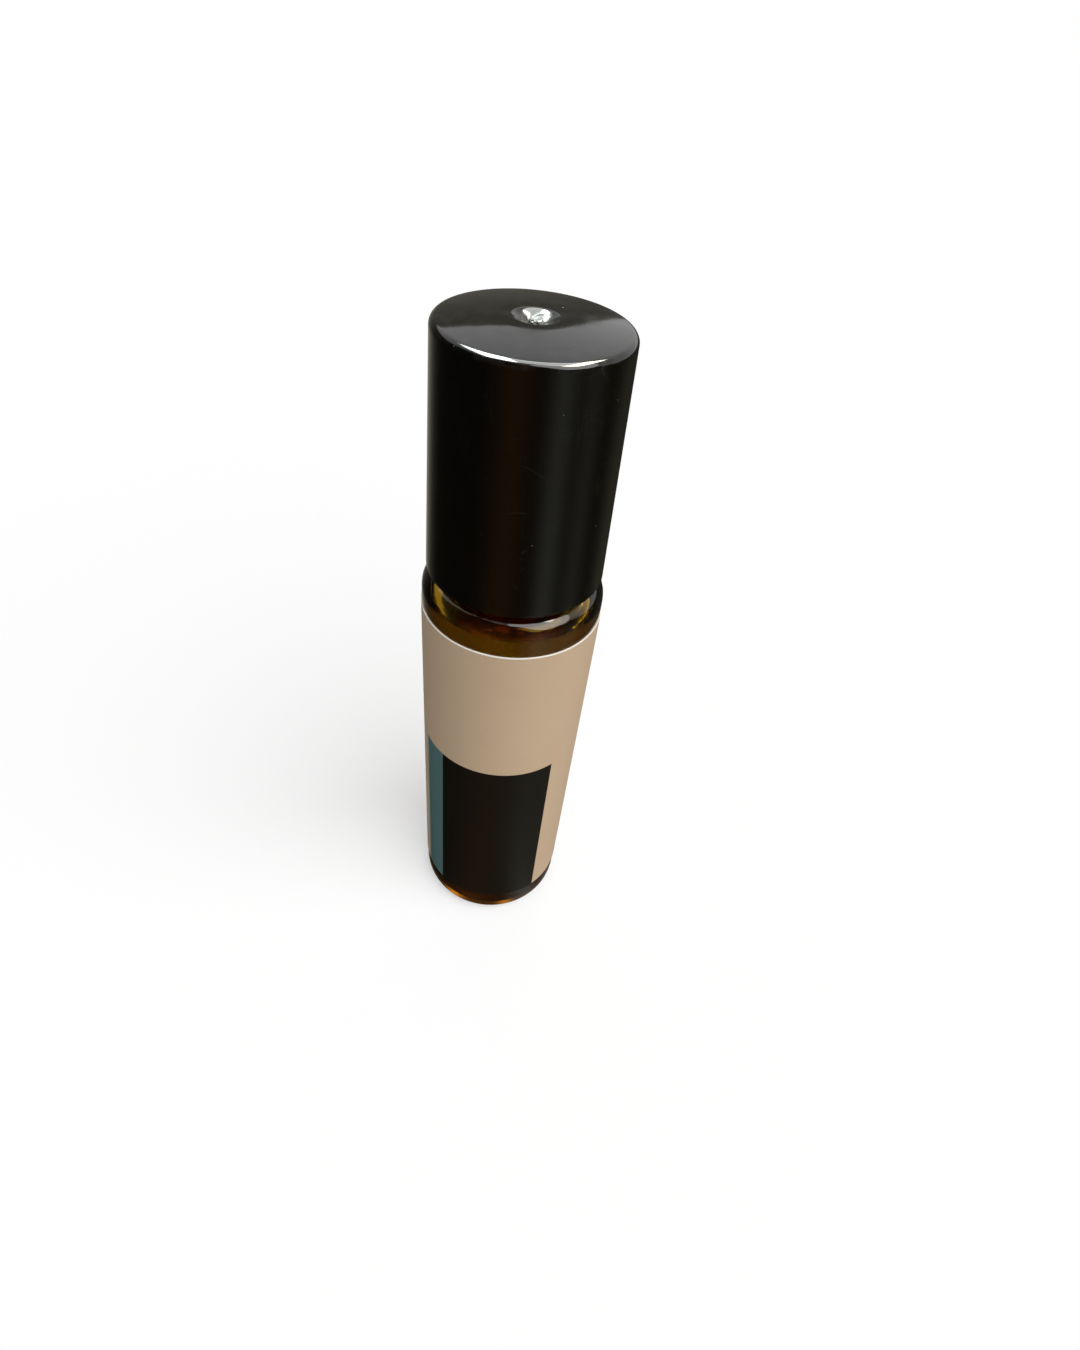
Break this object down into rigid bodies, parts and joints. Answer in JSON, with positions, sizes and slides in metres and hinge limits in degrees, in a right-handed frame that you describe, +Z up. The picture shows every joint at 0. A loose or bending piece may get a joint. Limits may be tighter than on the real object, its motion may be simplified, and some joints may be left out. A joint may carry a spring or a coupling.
{
  "type": "roll-on bottle",
  "caption": "Small amber glass roll-on bottle with a paper wrap label, a steel roller ball held in a plastic fitment, and a tall glossy black screw cap.",
  "frame": {"origin": "centre of the base, on the surface that the bottle stands on", "axes": "+Z up along the bottle's axis, -Y towards the front of the label, +X to its right"},
  "size_m": [0.0206, 0.0206, 0.085],
  "materials": {
    "amber_glass": "clear amber, polished",
    "oil": "clear liquid",
    "label_paper": "smooth coated paper",
    "natural_plastic": "natural, slightly waxy",
    "ball_steel": "polished",
    "black_plastic": "glossy moulded"
  },
  "bodies": {
    "bottle": {"glass_bottle": "amber_glass", "oil_fill": "oil", "wrap_label": "label_paper", "roller_fitment": "natural_plastic"},
    "ball": {"roller_ball": "ball_steel"},
    "cap": {"screw_cap": "black_plastic"}
  },
  "joints": [
    {"name": "ball_roll", "type": "hinge", "parent": "bottle", "child": "ball", "pos_m": [0, 0, 0.0747], "axis": [1, 0, 0], "continuous": true},
    {"name": "cap_lift", "type": "slide", "parent": "bottle", "child": "cap", "axis": [0, 0, 1], "range_m": [0, 0.035]}
  ]
}
